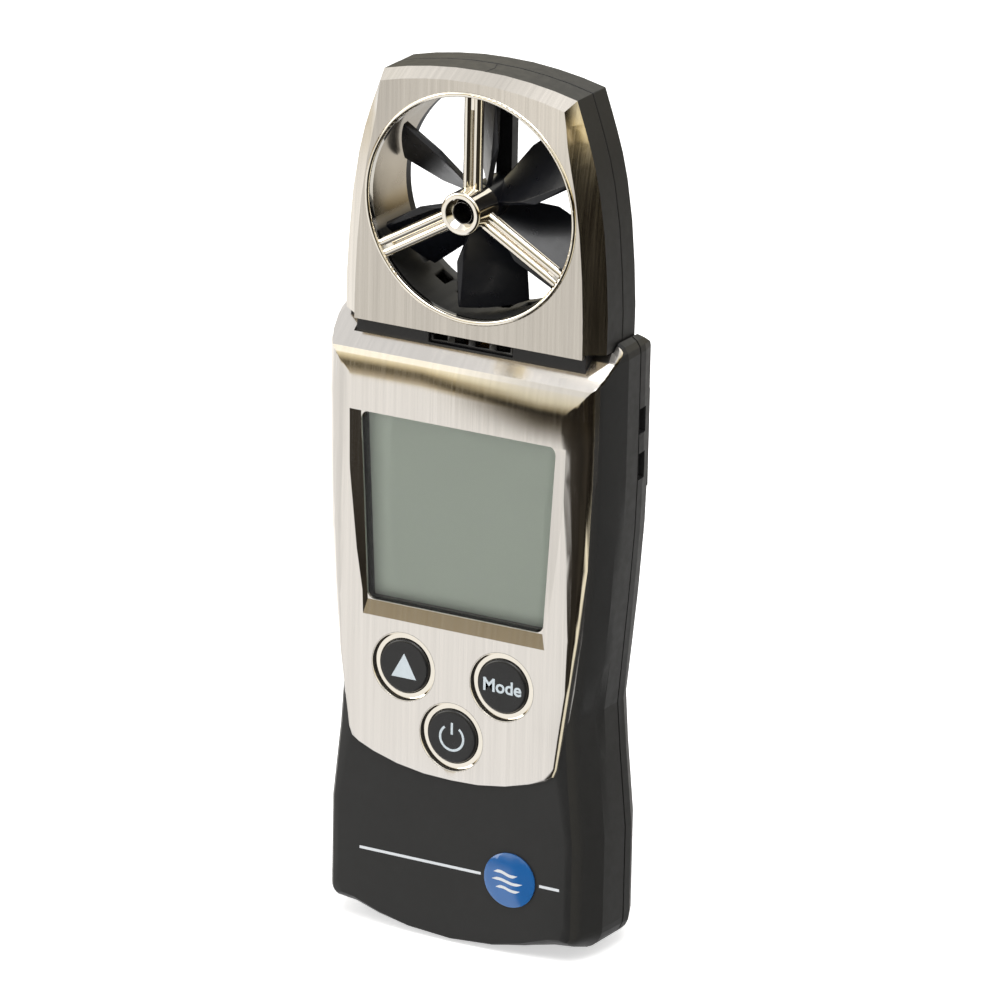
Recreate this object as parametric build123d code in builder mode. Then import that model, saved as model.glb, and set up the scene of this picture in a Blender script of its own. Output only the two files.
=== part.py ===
"""Pocket vane anemometer: a round measuring duct with a six blade rotor in a
separate head, on a slim waisted handset with display, three push buttons and
two AAA cells.

Millimetres.  +Z is up the handset, the display faces -Y, X runs across it.
The origin is the middle of the footprint, level with the lowest point.
Depths are measured along +Y from the fascia face.
"""
import math
import os

from build123d import *

os.makedirs("parts", exist_ok=True)

# ---------------------------------------------------------------- dimensions
DEPTH_ORIGIN = 10.0          # depth of the origin behind the fascia face
BODY_DEPTH = 20.5            # fascia face to rear face
PARTING = 11.8               # depth of the joint between the two body shells
SHELL_FACE = 0.45            # depth of the front shell's face
FASCIA_SEAT = 0.65           # depth of the pocket the fascia sits in
WALL_INNER = 2.95            # depth of the front wall's inner face
CREASE_DEPTH = 6.4           # depth of the crease along the handset's sides
WAIST_Z = 37.5

HEAD_FRONT = 2.6
HEAD_REAR = 14.9
HEAD_FASCIA_EDGE = 5.0
HEAD_PARTING = 9.4
HEAD_BOTTOM = 91.8

DUCT_Z = 110.4               # height of the rotor axis
DUCT_R = 16.3                # bore of the duct liner
DUCT_SEAT_R = 17.06
LINER_FRONT, LINER_REAR = 3.6, 13.2
STRUT_ANGLES = (90.0, 210.0, 330.0)

ROTOR_TIP_R = 15.75
ROTOR_HUB_R = 3.0
ROTOR_BLADES = 6
ROTOR_PHASE = 34.0           # angle of the first blade, from +X towards +Z
ROTOR_FRONT, ROTOR_REAR = 5.5, 11.5
BLADE_MID = 8.3              # depth of the middle of the blades
BLADE_HALF_DEPTH = 3.4
BLADE_THICKNESS = 0.75
SHAFT_R = 0.5
SHAFT_BORE_R = SHAFT_R + 0.03
MAGNET_R = 2.2
MAGNET_FRONT = 9.5
FRONT_BEARING_R = 1.9
REAR_BEARING_R = 1.5

BUTTONS = {                  # centres, x and z
    "button_up": (-8.05, 40.97),
    "button_mode": (8.05, 40.97),
    "button_power": (0.0, 31.75),
}
BUTTON_R = 4.1
BUTTON_BORE_R = 4.2
RING_OUTER_R = 5.2
RING_INNER_R = 4.2
RING_SEAT_R = RING_OUTER_R + 0.04
RING_DEPTH = 1.7
BADGE_X, BADGE_Z = 9.85, 11.6
BADGE_R = 4.15

BOARD_FRONT, BOARD_REAR = 6.4, 7.4
LCD_HALF_WIDTH = 16.9
LCD_BOTTOM, LCD_TOP = 48.6, 80.2

CELL_R = 5.25                # AAA cell
CELL_CAN = 43.7              # length without the nub
CELL_NUB = 0.8
CELL_X = 5.55
CELL_DEPTH = 13.5
CELL_1_BASE = 16.2
CELL_2_TOP = 55.8
BAY_BOTTOM, BAY_TOP = 11.0, 61.0
CONTACT_THICKNESS = 0.3
SPRING_TURNS = 4

COVER_HALF_WIDTH = 12.0
TONGUE_HALF_WIDTH = 12.9
COVER_FRONT = 18.95
COVER_BOTTOM, COVER_TOP = -2.0, 64.0
CHANNEL_FRONT = 18.9

CASE_SCREWS = [(x, z) for z in (10.0, 85.9) for x in (-15.6, 15.6)]
CASE_SCREW_R = 0.8
CASE_SCREW_SEAT = 18.4
CASE_BOSS_R = 2.4
HEAD_SCREWS = [(side * x, z) for x, z in ((17.4, 96.2), (13.3, 124.2)) for side in (-1, 1)]
HEAD_SCREW_R = 0.7
HEAD_SCREW_SEAT = 13.6

# Extents in the order x, depth, z.
NECK = (-18.6, 18.6, 3.6, 13.0, 87.2, HEAD_BOTTOM)
FASCIA_NOTCH = (-18.8, 18.8, 1.5, 9.0, 89.1, 95)   # cut in the metal under the head
THERMISTOR_SLOT = (89.3, 91.2)                     # bottom and top
# Half width and heights of cutters that span the whole body or head.
WIDE = 30
BODY_SPAN = (-5, 100)
HEAD_SPAN = (80, 140)


# ------------------------------------------------------------------- helpers
def y_of(depth):
    return depth - DEPTH_ORIGIN


def front(depth):
    """Sketch plane facing -Y at a depth behind the fascia face: x, z."""
    return Plane(origin=(0, y_of(depth), 0), x_dir=(1, 0, 0), z_dir=(0, -1, 0))


def box_at(x0, x1, d0, d1, z0, z1, mode=Mode.ADD):
    """Box between two x, two depths and two heights."""
    with Locations(((x0 + x1) / 2, y_of((d0 + d1) / 2), (z0 + z1) / 2)):
        Box(x1 - x0, d1 - d0, z1 - z0, mode=mode)


def cut_box(*extents):
    box_at(*extents, mode=Mode.SUBTRACT)


def rod_at(x, z, radius, d0, d1, mode=Mode.ADD):
    """Cylinder along Y between two depths."""
    with Locations(Location((x, y_of((d0 + d1) / 2), z), (90, 0, 0))):
        Cylinder(radius, d1 - d0, mode=mode)


def cut_rod(x, z, radius, d0, d1):
    rod_at(x, z, radius, d0, d1, mode=Mode.SUBTRACT)


def axis_rod(radius, d0, d1, mode=Mode.ADD):
    """Cylinder on the rotor axis."""
    rod_at(0, DUCT_Z, radius, d0, d1, mode=mode)


def cut_axis(radius, d0=0, d1=20):
    """Bore on the rotor axis, right through the head by default."""
    axis_rod(radius, d0, d1, mode=Mode.SUBTRACT)


def face_of(plane, points, radius=0, hole=None):
    """Polygon face, its corners rounded if radius is given, with an optional hole."""
    with BuildSketch(plane) as sketch:
        with BuildLine():
            Polyline(*points, close=True)
        make_face()
        if radius:
            fillet(vertices(), radius)
        if hole:
            with BuildLine():
                Polyline(*hole, close=True)
            make_face(mode=Mode.SUBTRACT)
    return sketch.sketch.face()


def prism(points, start, end, mode=Mode.ADD, radius=0, hole=None):
    """Outline of x, z points extruded from one depth to another."""
    face = face_of(front(start), points, radius, hole)
    extrude(face, amount=end - start, dir=(0, 1, 0), mode=mode)


def cross_prism(profile, mode=Mode.SUBTRACT):
    """Side profile of depth, height points, extruded right across the body."""
    face = face_of(Plane.YZ, [(y_of(depth), z) for depth, z in profile])
    extrude(face, amount=WIDE, both=True, mode=mode)


def stack(sections, mode=Mode.ADD):
    """Ruled loft through (depth, points) sections."""
    faces = [face_of(front(depth), points) for depth, points in sections]
    loft(sections=faces, ruled=True, mode=mode)


def both_sides(*right):
    """Closed outline, mirrored from right-hand points that run bottom to top."""
    (x, z), *rest = right
    return [(-x, z), *right] + [(-x, z) for x, z in reversed(rest)]


def unit(value):
    """Value held between 0 and 1."""
    return min(1.0, max(0.0, value))


def inset_outline(half, inset):
    """Closed outline from right-hand points, moved inwards by inset, which is
    one number or one for each point."""
    if not isinstance(inset, (list, tuple)):
        inset = [inset] * len(half)
    right = [(x, z, move) for (x, z), move in zip(half, inset)]
    full = right + [(-x, z, move) for x, z, move in reversed(right) if x > 1e-6]
    points = []
    for i, (x, z, move) in enumerate(full):
        before_x, before_z, _ = full[i - 1]
        after_x, after_z, _ = full[(i + 1) % len(full)]
        length1 = math.hypot(x - before_x, z - before_z)
        length2 = math.hypot(after_x - x, after_z - z)
        normal1 = (-(z - before_z) / length1, (x - before_x) / length1)
        normal2 = (-(after_z - z) / length2, (after_x - x) / length2)
        scale = move / (1 + normal1[0] * normal2[0] + normal1[1] * normal2[1])
        points.append((x + (normal1[0] + normal2[0]) * scale,
                       z + (normal1[1] + normal2[1]) * scale))
    return points


# ------------------------------------------------------------------ outlines
def corner(centre_x, centre_z, radius, start, end, steps):
    """Points along an arc, angles in degrees."""
    angles = [math.radians(start + (end - start) * i / steps) for i in range(steps + 1)]
    return [(centre_x + radius * math.cos(a), centre_z + radius * math.sin(a)) for a in angles]


def body_half(top_r, low_r):
    """Right-hand half of the handset outline, from the bottom round to the top:
    a shallow bottom, a waist and square shoulders."""
    return ([(0.0, 0.0), (7.0, 0.12), (12.0, 0.42), (16.2, 0.85)]
            + corner(22.6 - low_r, 0.9 + low_r, low_r, -80, 0, 5)
            + [(22.6, 18.6), (21.45, 30.0), (20.8, WAIST_Z), (21.35, 45.0),
               (22.0, 53.4), (22.75, 64.0), (23.0, 73.0)]
            + corner(23.0 - top_r, 93.0 - top_r, top_r, 0, 90, 4))


def body_ring(inset, top):
    """Handset outline moved inwards, its corners kept open, cut flat at a height."""
    half = body_half(max(2.5, inset + 0.8), max(3.7, inset + 0.8))
    return [(x, min(z, top)) for x, z in inset_outline(half, inset)]


# Cross sections of the handset: depth, then how far the outline moves inwards
# beside the display, in the grip below it, and under the bottom edge at its
# middle and (added) towards the corners.
BODY_SECTIONS = [
    (SHELL_FACE, 2.95, 4.0, 0.5, 2.5),
    (0.8, 2.35, 2.95, 0.3, 2.2),
    (1.6, 1.65, 2.3, 0.15, 1.8),
    (2.8, 1.03, 1.8, 0.05, 1.3),
    (CREASE_DEPTH, 0.33, 0.65, 0.0, 0.1),
    (8.2, 0.0, 0.5, 0.0, 0.1),
    (13.6, 0.12, 0.12, 0.12, 0.3),
    (16.2, 0.75, 1.25, 0.75, 0.5),
    (18.6, 2.1, 2.5, 1.8, 0.6),
    (BODY_DEPTH, 4.0, 4.2, 3.4, 0.6),
]


def body_section(depth, beside, grip, bottom, spread):
    """Outline of one row of BODY_SECTIONS, the insets blended with height."""
    half = body_half(max(2.5, beside + 0.8), max(3.7, grip + 0.9))
    insets = []
    for x, z in half:
        upper = beside
        if depth == CREASE_DEPTH:
            upper = beside * unit((z - 50.0) / 25.0)
        grip_share = unit((50.0 - z) / 18.0)
        inset = upper * (1 - grip_share) + grip * grip_share
        if depth == CREASE_DEPTH and abs(z - WAIST_Z) < 1:
            inset += 0.5            # the crease turns in at the waist
        if z < 6.5 and x < 22.59:
            bottom_share = unit((22.5 - x) / 4.0)
            bottom_inset = bottom + spread * unit((x / 17.0) ** 2)
            inset = inset * (1 - bottom_share) + bottom_inset * bottom_share
        insets.append(inset)
    return inset_outline(half, insets)


# Right-hand half of the head outline, from its flat bottom to the top arc: x, z.
HEAD_HALF = [
    (0.0, HEAD_BOTTOM), (10.5, HEAD_BOTTOM), (21.1, HEAD_BOTTOM), (21.15, 97.0),
    (20.85, 103.0), (20.3, 109.4), (19.4, 115.3), (18.55, 119.0), (17.6, 122.1),
    (16.65, 124.9), (15.5, 128.15), (11.8, 129.0), (8.0, 129.6), (4.0, 130.0), (0.0, 130.1),
]
# The same for the flat front inside the head's bevel.
HEAD_FLAT_HALF_WIDTH = 18.46
HEAD_FLAT = [
    (0.0, 91.95), (10.5, 91.95), (HEAD_FLAT_HALF_WIDTH, 91.95), (18.4, 97.0),
    (18.15, 103.0), (17.6, 109.4), (16.75, 115.2), (16.0, 118.8), (15.4, 122.0),
    (15.1, 124.8), (14.75, 127.0), (11.3, 127.8), (7.6, 128.4), (3.8, 128.8), (0.0, 128.9),
]
# Right-hand half of the body fascia outline: x, z.
FASCIA_HALF = [
    (0.0, 24.5), (4.5, 24.65), (9.0, 25.35), (13.0, 26.5), (15.6, 27.6), (16.9, 28.5),
    (17.5, 30.0), (18.1, 34.6), (19.1, 41.7), (20.1, 49.9), (21.05, 60.6), (21.6, 73.8),
    (21.75, 80.5), (21.75, 91.5),
]
# Cutter for the top of the face, depth and height: a shallow band that rolls
# back to the rim, then the slope over the ledge and shoulders.
TOP_PROFILE = [
    (-1.0, 82.6), (0.0, 83.0), (0.06, 84.0), (0.25, 85.4), (0.55, 86.5), (0.9, 87.35),
    (7.6, 92.6), (8.2, 95.0), (-1.0, 95.0),
]
# Cutter for the rounded rear of the shoulders, depth and height.
SHOULDER_PROFILE = [
    (12.2, 93.4), (13.9, 92.5), (15.6, 91.4), (17.5, 90.1), (21, 87.9), (21, 95), (12.2, 95),
]
# Side profile of the metal that turns back over the ledge, depth and height.
SLOPE_PROFILE = [
    (-0.2, 83.0), (-0.2, 95.0), (7.4, 95.0), (7.4, 91.75), (1.45, 87.1), (1.0, 86.0),
    (FASCIA_SEAT, 84.5), (FASCIA_SEAT, 83.0),
]
# Rolled edge of the metal face, outside and inside: depth and inset.
ROLLED_EDGE = [(0.0, 2.9), (0.1, 2.0), (0.35, 1.2), (0.75, 0.6), (1.3, 0.2), (2.1, 0.0)]
ROLLED_CORE = [(FASCIA_SEAT, 2.8), (0.85, 2.0), (1.15, 1.35), (1.55, 0.9), (2.1, 0.65)]
# Shallow surround of the display opening, right-hand x and z at its front and back.
SURROUND_FRONT = [(14.85, 47.95), (15.0, 51.4), (16.05, 57.6), (17.35, 69.2), (17.85, 78.52)]
SURROUND_BACK = [(14.3, 50.15), (14.38, 51.4), (14.72, 57.6), (15.35, 69.2), (15.85, 78.5)]


def roll(inset, least):
    """Outline of the metal face at one depth of its roll, which is tight
    round the buttons and broadens beside the display."""
    insets = []
    for _, z in FASCIA_HALF:
        breadth = 0.3 + 0.7 * unit((z - 45.0) / 13.0) + 0.75 * unit((z - 60.0) / 20.0)
        insets.append(inset * max(least, breadth))
    return inset_outline(FASCIA_HALF, insets)


# ------------------------------------------------- envelope and shared solids
with BuildPart() as body_envelope:
    stack([(row[0], body_section(*row)) for row in BODY_SECTIONS])
    cross_prism(TOP_PROFILE)
    cross_prism(SHOULDER_PROFILE)
    # the saddle for the head
    cut_box(-21.4, 21.4, -2, 22, 91.75, 95)

with BuildPart() as body_cavity:
    # seat of the display glass
    box_at(-17.8, 17.8, 2.6, 3.2, 47.4, 81.5)
    prism(body_ring(3.6, 87.2), WALL_INNER, WALL_INNER + 4.0)
    prism(body_ring(2.2, 87.8), 6.4, 15.0)
    prism(body_ring(4.9, 83.0), 14.5, 18.7)

with BuildPart() as case_seal:
    prism(body_ring(0.75, 90.9), PARTING - 0.4, PARTING + 0.4, hole=body_ring(1.55, 90.1))
    # the seal ends against the neck block
    cut_box(*NECK)

with BuildPart() as slope_skin:
    # the part of the metal fascia that turns back over the ledge and shoulders
    add(body_envelope.part)
    cross_prism(SLOPE_PROFILE, Mode.INTERSECT)
    cut_box(*FASCIA_NOTCH)
    cut_box(*NECK)

with BuildPart() as fascia_core:
    stack([(depth, roll(inset, 1.0)) for depth, inset in ROLLED_CORE])

with BuildPart() as fascia_blank:
    stack([(depth, roll(inset, 0.3)) for depth, inset in ROLLED_EDGE])
    add(fascia_core.part, mode=Mode.SUBTRACT)
    cross_prism(TOP_PROFILE)
    cut_box(*FASCIA_NOTCH)
    add(slope_skin.part)

with BuildPart() as seam_core:
    seam_outline = body_section(0, 0.45, 0.6, 0.4, 0.2)
    stack([(PARTING - 0.1, seam_outline), (PARTING + 0.4, seam_outline)])

with BuildPart() as body_seam:
    # shadow gap between the two shells
    box_at(-WIDE, WIDE, PARTING, PARTING + 0.28, *BODY_SPAN)
    add(seam_core.part, mode=Mode.SUBTRACT)

# ---------------------------------------------------------------------- neck
with BuildPart() as neck_block:
    box_at(*NECK)
    # cable way and thermistor well
    cut_box(-5.2, 5.2, 7.2, 9.0, 80, 95)
    cut_box(-2.6, 2.6, 3.0, 7.21, *THERMISTOR_SLOT)
    cut_box(-6.8, 6.8, 3.0, 6.4, *THERMISTOR_SLOT)

with BuildPart() as sensor_grille:
    # comb of upright bars in front of the thermistor
    box_at(-6.8, 6.8, 4.0, 4.6, *THERMISTOR_SLOT)
    for gap_x in (-5.1, -1.7, 1.7, 5.1):
        cut_box(gap_x - 1.15, gap_x + 1.15, 3, 5, 89.75, 92)

# ------------------------------------------------------------ handset shells
with BuildPart() as front_shell:
    add(body_envelope.part)
    cut_box(-WIDE, WIDE, PARTING, 30, *BODY_SPAN)
    add(body_cavity.part, mode=Mode.SUBTRACT)
    # bosses for the case screws
    for x, z in CASE_SCREWS:
        rod_at(x, z, CASE_BOSS_R, WALL_INNER - 0.2, PARTING)
    # neck opening and recess under the head
    cut_box(*NECK)
    cut_box(-18.8, 18.8, 2.2, 3.7, 89.1, 95)
    cut_box(-5.2, 5.2, 6.0, 9.0, 80, 90)
    # fascia pocket
    add(fascia_blank.part, mode=Mode.SUBTRACT)
    # nothing of the shell stands in front of the metal's roll under the shoulders
    for x in (19.4, -20.8):
        cut_box(x, x + 1.4, -1, 0.62, 70.9, 83.0)
    # lens seat and window
    prism(both_sides((15.7, 48.9), (17.35, 79.8)), 1.6, -1.4, Mode.SUBTRACT)
    prism(both_sides((14.35, 50.25), (15.85, 78.5)), 5, -1, Mode.SUBTRACT)
    for x, z in BUTTONS.values():
        cut_rod(x, z, BUTTON_BORE_R, -1, 4)
        cut_rod(x, z, RING_SEAT_R, -1, RING_DEPTH)
    for x, z in CASE_SCREWS:
        cut_rod(x, z, CASE_SCREW_R, 5.0, PARTING + 1)
    add(case_seal.part, mode=Mode.SUBTRACT)

with BuildPart() as rear_shell:
    add(body_envelope.part)
    cut_box(-WIDE, WIDE, -5, PARTING, *BODY_SPAN)
    add(body_cavity.part, mode=Mode.SUBTRACT)
    # battery bay walls reach forward to just behind the circuit board
    box_at(-12.2, 12.2, 7.6, CHANNEL_FRONT, BAY_BOTTOM - 1.0, BAY_TOP + 1.0)
    # lanyard bar block in the +X flank
    box_at(16.0, 22.2, PARTING, 16.4, 69.4, 84.0)
    # screw posts
    for x, z in CASE_SCREWS:
        rod_at(x, z, CASE_BOSS_R, PARTING, 19.0)
    cut_box(-11.3, 11.3, 8.2, 22, BAY_BOTTOM, BAY_TOP)
    # lanyard slots above and below the bar, joined on its inner side
    cut_box(17.5, 26, 12.1, 14.2, 78.3, 82.1)
    cut_box(17.5, 26, 12.1, 14.2, 71.4, 75.4)
    cut_box(17.5, 20.3, 12.1, 14.2, 71.4, 82.1)
    cut_box(*NECK)
    # screw holes with counterbores
    for x, z in CASE_SCREWS:
        cut_rod(x, z, 1.05, PARTING - 1, 22)
        cut_rod(x, z, 1.95, CASE_SCREW_SEAT, 22)
    # cover channel, open at the bottom end, with side grooves
    for half_width, rear in ((COVER_HALF_WIDTH + 0.05, 22), (TONGUE_HALF_WIDTH + 0.05, 19.75)):
        cut_box(-half_width, half_width, CHANNEL_FRONT, rear, COVER_BOTTOM, COVER_TOP + 0.1)
    add(case_seal.part, mode=Mode.SUBTRACT)
    add(body_seam.part, mode=Mode.SUBTRACT)


def cover_slab(half_width, rear):
    """Slab of the body envelope between the cover's front and a rear depth."""
    with BuildPart() as slab:
        add(body_envelope.part)
        box_at(-half_width, half_width, COVER_FRONT, rear, COVER_BOTTOM, COVER_TOP,
               mode=Mode.INTERSECT)
    return slab.part


with BuildPart() as battery_cover:
    add(cover_slab(COVER_HALF_WIDTH, 20.55))
    # tongues that run in the side grooves
    add(cover_slab(TONGUE_HALF_WIDTH, 19.69))
    # finger grip
    for k in range(5):
        groove_z = 51.0 + k * 1.8
        cut_box(-7.0, 7.0, 20.15, 21, groove_z, groove_z + 0.9)

# ----------------------------------------------------------- fascia and trim
with BuildPart() as body_fascia:
    add(fascia_blank.part)
    # display opening with a shallow surround below it and to either side,
    # widest at the top
    stack([(-0.002, both_sides(*SURROUND_FRONT)), (0.36, both_sides(*SURROUND_BACK))],
          Mode.SUBTRACT)
    prism(both_sides((14.35, 50.2), (15.85, 78.5)), 2.0, -1.0, Mode.SUBTRACT, radius=1.3)
    for x, z in BUTTONS.values():
        cut_rod(x, z, RING_SEAT_R, -1, 4)

with BuildPart() as display_lens:
    # raised pane, then the flange behind the fascia
    prism(both_sides((14.3, 50.25), (15.8, 78.45)), FASCIA_SEAT, 0.4, radius=1.3)
    prism(both_sides((15.6, 49.0), (17.0, 79.5)), 1.3, FASCIA_SEAT, radius=1.2)

with BuildPart() as lens_gasket:
    prism(both_sides((15.6, 49.0), (17.25, 79.7)), 1.6, 1.3,
          hole=both_sides((14.4, 50.2), (15.9, 78.55)))

with BuildPart() as badge:
    # disc with a shallow domed front
    rod_at(BADGE_X, BADGE_Z, BADGE_R, SHELL_FACE - 0.25, SHELL_FACE)
    with Locations((BADGE_X, y_of(12.15), BADGE_Z)):
        Sphere(12.65)
    rod_at(BADGE_X, BADGE_Z, BADGE_R, SHELL_FACE - 1.2, SHELL_FACE, mode=Mode.INTERSECT)


# ------------------------------------------------------------------- buttons
def make_button(x, z):
    """Round button with a rounded front edge and a flange behind."""
    with BuildPart() as button:
        rod_at(x, z, BUTTON_R, 0.15, 3.1)
        rod_at(x, z, 5.0, 3.05, 3.65)
        fillet(button.edges().filter_by(GeomType.CIRCLE).sort_by(Axis.Y)[0], 0.45)
    return button


with BuildPart() as button_rings:
    # dished trim rings: a steep wall, then a flat shelf round the button
    for x, z in BUTTONS.values():
        rod_at(x, z, RING_OUTER_R, 0.0, RING_DEPTH)
    for x, z in BUTTONS.values():
        cut_rod(x, z, RING_INNER_R, -1, 2)
        walls = []
        for depth, radius in ((-0.01, 5.12), (0.3, 4.95), (0.6, 4.84)):
            with BuildSketch(front(depth)) as wall:
                with Locations((x, z)):
                    Circle(radius)
            walls.append(wall.sketch.face())
        loft(sections=walls, ruled=True, mode=Mode.SUBTRACT)

with BuildPart() as keypad_mat:
    box_at(-14.6, 14.6, 4.25, 5.0, 25.6, 46.9)
    for x, z in BUTTONS.values():
        rod_at(x, z, 1.6, 5.0, 5.75)

with BuildPart() as contact_domes:
    for x, z in BUTTONS.values():
        rod_at(x, z, 3.0, 5.9, BOARD_FRONT)
    fillet(contact_domes.edges().filter_by(GeomType.CIRCLE).group_by(Axis.Y)[0], 0.4)

# ------------------------------------------------------- display and circuit
LCD_OPENING = (-LCD_HALF_WIDTH, LCD_HALF_WIDTH)

with BuildPart() as lcd_panel:
    box_at(*LCD_OPENING, 2.65, 5.2, LCD_BOTTOM, LCD_TOP)
    # rebates behind the two ends, which clear the connectors
    cut_box(*LCD_OPENING, 3.9, 5.3, LCD_BOTTOM, LCD_BOTTOM + 1.8)
    cut_box(*LCD_OPENING, 3.9, 5.3, LCD_TOP - 1.8, LCD_TOP)

with BuildPart() as lcd_frame:
    box_at(-17.7, 17.7, 2.6, BOARD_FRONT, 47.5, 81.4)
    cut_box(*LCD_OPENING, 2.5, 6.5, LCD_BOTTOM, LCD_TOP)

with BuildPart() as lcd_connectors:
    for z in (LCD_BOTTOM + 0.2, LCD_TOP - 1.6):
        box_at(-15.5, 15.5, 3.9, BOARD_FRONT, z, z + 1.4)

with BuildPart() as circuit_board:
    box_at(-16.4, 16.4, BOARD_FRONT, BOARD_REAR, 24.0, 82.6)

# Blocks on the rear of the board: x from and to, height off the board, z from and to.
COMPONENTS = [
    (-5.0, 5.0, 1.2, 64.5, 74.5),
    (-13.0, -9.0, 1.0, 66.0, 69.0),
    (8.0, 14.0, 1.6, 65.0, 67.4),
    (-13.0, -10.5, 0.8, 73.0, 75.0),
    (9.0, 11.5, 0.8, 72.0, 74.0),
]

with BuildPart() as board_components:
    for x0, x1, height, z0, z1 in COMPONENTS:
        box_at(x0, x1, BOARD_REAR, BOARD_REAR + height, z0, z1)

with BuildPart() as flex_cable:
    box_at(-4.0, 4.0, BOARD_REAR, BOARD_REAR + 0.25, 77.0, 90.6)


# ------------------------------------------------------------------- battery
def make_cell(x, flat_end, direction):
    """Cell from its flat end, with its nub up (direction 1) or down (-1)."""
    with BuildPart() as cell:
        with Locations((x, y_of(CELL_DEPTH), flat_end + direction * CELL_CAN / 2)):
            Cylinder(CELL_R, CELL_CAN)
        with Locations((x, y_of(CELL_DEPTH), flat_end + direction * (CELL_CAN + CELL_NUB / 2))):
            Cylinder(1.9, CELL_NUB)
    return cell


with BuildPart() as battery_contacts:
    # one plate across the bottom, two at the top
    box_at(-10.3, 10.3, 9.4, 17.6, BAY_BOTTOM, BAY_BOTTOM + CONTACT_THICKNESS)
    box_at(-10.3, -0.8, 9.4, 17.6, BAY_TOP - CONTACT_THICKNESS, BAY_TOP)
    box_at(0.8, 10.3, 9.4, 17.6, BAY_TOP - CONTACT_THICKNESS, BAY_TOP)

with BuildPart() as battery_springs:
    for x, z0, z1 in ((-CELL_X, BAY_BOTTOM + 0.6, CELL_1_BASE - 0.3),
                      (CELL_X, CELL_2_TOP + 0.3, BAY_TOP - 0.6)):
        with BuildLine(Plane(origin=(x, y_of(CELL_DEPTH), z0))) as coil:
            Helix(pitch=(z1 - z0) / SPRING_TURNS, height=z1 - z0, radius=2.6)
        with BuildSketch(Plane(origin=coil.line @ 0, z_dir=coil.line % 0)):
            Circle(0.25)
        sweep(path=coil.line, is_frenet=True)


# -------------------------------------------------------------------- screws
def make_screws(places, shank_r, tip, head_r, seat, top, slot, slot_floor):
    """Screws driven from the rear, with a cross slot.  tip, seat, top and
    slot_floor are depths; slot is the slot's half length and half width."""
    long, short = slot
    with BuildPart() as screws:
        for x, z in places:
            rod_at(x, z, shank_r, tip, seat)
            rod_at(x, z, head_r, seat, top)
        for x, z in places:
            for half_x, half_z in ((long, short), (short, long)):
                cut_box(x - half_x, x + half_x, slot_floor, slot_floor + 0.9,
                        z - half_z, z + half_z)
    return screws


case_screws = make_screws(CASE_SCREWS, shank_r=CASE_SCREW_R, tip=6.4, head_r=1.8,
                          seat=CASE_SCREW_SEAT, top=19.6, slot=(1.2, 0.22), slot_floor=19.1)
head_screws = make_screws(HEAD_SCREWS, shank_r=HEAD_SCREW_R, tip=6.0, head_r=1.4,
                          seat=HEAD_SCREW_SEAT, top=14.5, slot=(0.9, 0.18), slot_floor=14.1)

# ---------------------------------------------------------------------- head
with BuildPart() as head_envelope:
    stack([(HEAD_FRONT, inset_outline(HEAD_FLAT, 0.0)),
           (HEAD_FASCIA_EDGE, inset_outline(HEAD_HALF, 0.0)),
           (13.3, inset_outline(HEAD_HALF, 0.0)),
           (HEAD_REAR, inset_outline(HEAD_HALF, 1.0))])
    # the flat bottom is not bevelled
    cut_box(-HEAD_FLAT_HALF_WIDTH, HEAD_FLAT_HALF_WIDTH, HEAD_FRONT, HEAD_FASCIA_EDGE,
            91.2, 95.0) if False else box_at(
        -HEAD_FLAT_HALF_WIDTH, HEAD_FLAT_HALF_WIDTH, HEAD_FRONT, HEAD_FASCIA_EDGE, 91.2, 95.0)
    box_at(-20.0, 20.0, HEAD_FASCIA_EDGE, HEAD_REAR, HEAD_BOTTOM, 94.0)

with BuildPart() as head_core:
    stack([(3.5, inset_outline(HEAD_HALF, 2.6)),
           (HEAD_FASCIA_EDGE, inset_outline(HEAD_HALF, 1.3))])

with BuildPart() as head_fascia:
    add(head_envelope.part)
    cut_box(-WIDE, WIDE, HEAD_FASCIA_EDGE, 30, *HEAD_SPAN)
    add(head_core.part, mode=Mode.SUBTRACT)
    cut_box(-17.6, 17.6, 3.5, 6.0, 91.0, 95.0)
    cut_box(-18.5, 18.5, 3.55, 6.0, 91.0, HEAD_BOTTOM)
    cut_axis(DUCT_SEAT_R)

with BuildPart() as head_front_shell:
    add(head_envelope.part)
    cut_box(-WIDE, WIDE, HEAD_PARTING, 30, *HEAD_SPAN)
    cut_box(-WIDE, WIDE, -5, HEAD_FASCIA_EDGE, *HEAD_SPAN)
    add(head_core.part)
    cut_axis(DUCT_SEAT_R)
    for x, z in HEAD_SCREWS:
        cut_rod(x, z, HEAD_SCREW_R, 5.4, 12)

with BuildPart() as head_seam_core:
    stack([(HEAD_PARTING - 0.1, inset_outline(HEAD_HALF, 0.3)),
           (HEAD_PARTING + 0.4, inset_outline(HEAD_HALF, 0.3))])

with BuildPart() as head_seam:
    # shadow gap at the joint, left out along the bottom
    box_at(-WIDE, WIDE, HEAD_PARTING, HEAD_PARTING + 0.25, *HEAD_SPAN)
    add(head_seam_core.part, mode=Mode.SUBTRACT)
    cut_box(-WIDE, WIDE, 0, 20, 80, 92.2)

with BuildPart() as head_rear_shell:
    add(head_envelope.part)
    cut_box(-WIDE, WIDE, -5, HEAD_PARTING, *HEAD_SPAN)
    cut_axis(DUCT_SEAT_R)
    for x, z in HEAD_SCREWS:
        cut_rod(x, z, 0.8, 8, 20)
        cut_rod(x, z, 1.5, HEAD_SCREW_SEAT, 20)
    add(head_seam.part, mode=Mode.SUBTRACT)
    # sensor chamber under the duct
    cut_box(-13.6, 13.6, 9.9, 13.0, 92.6, 97.0)


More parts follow.
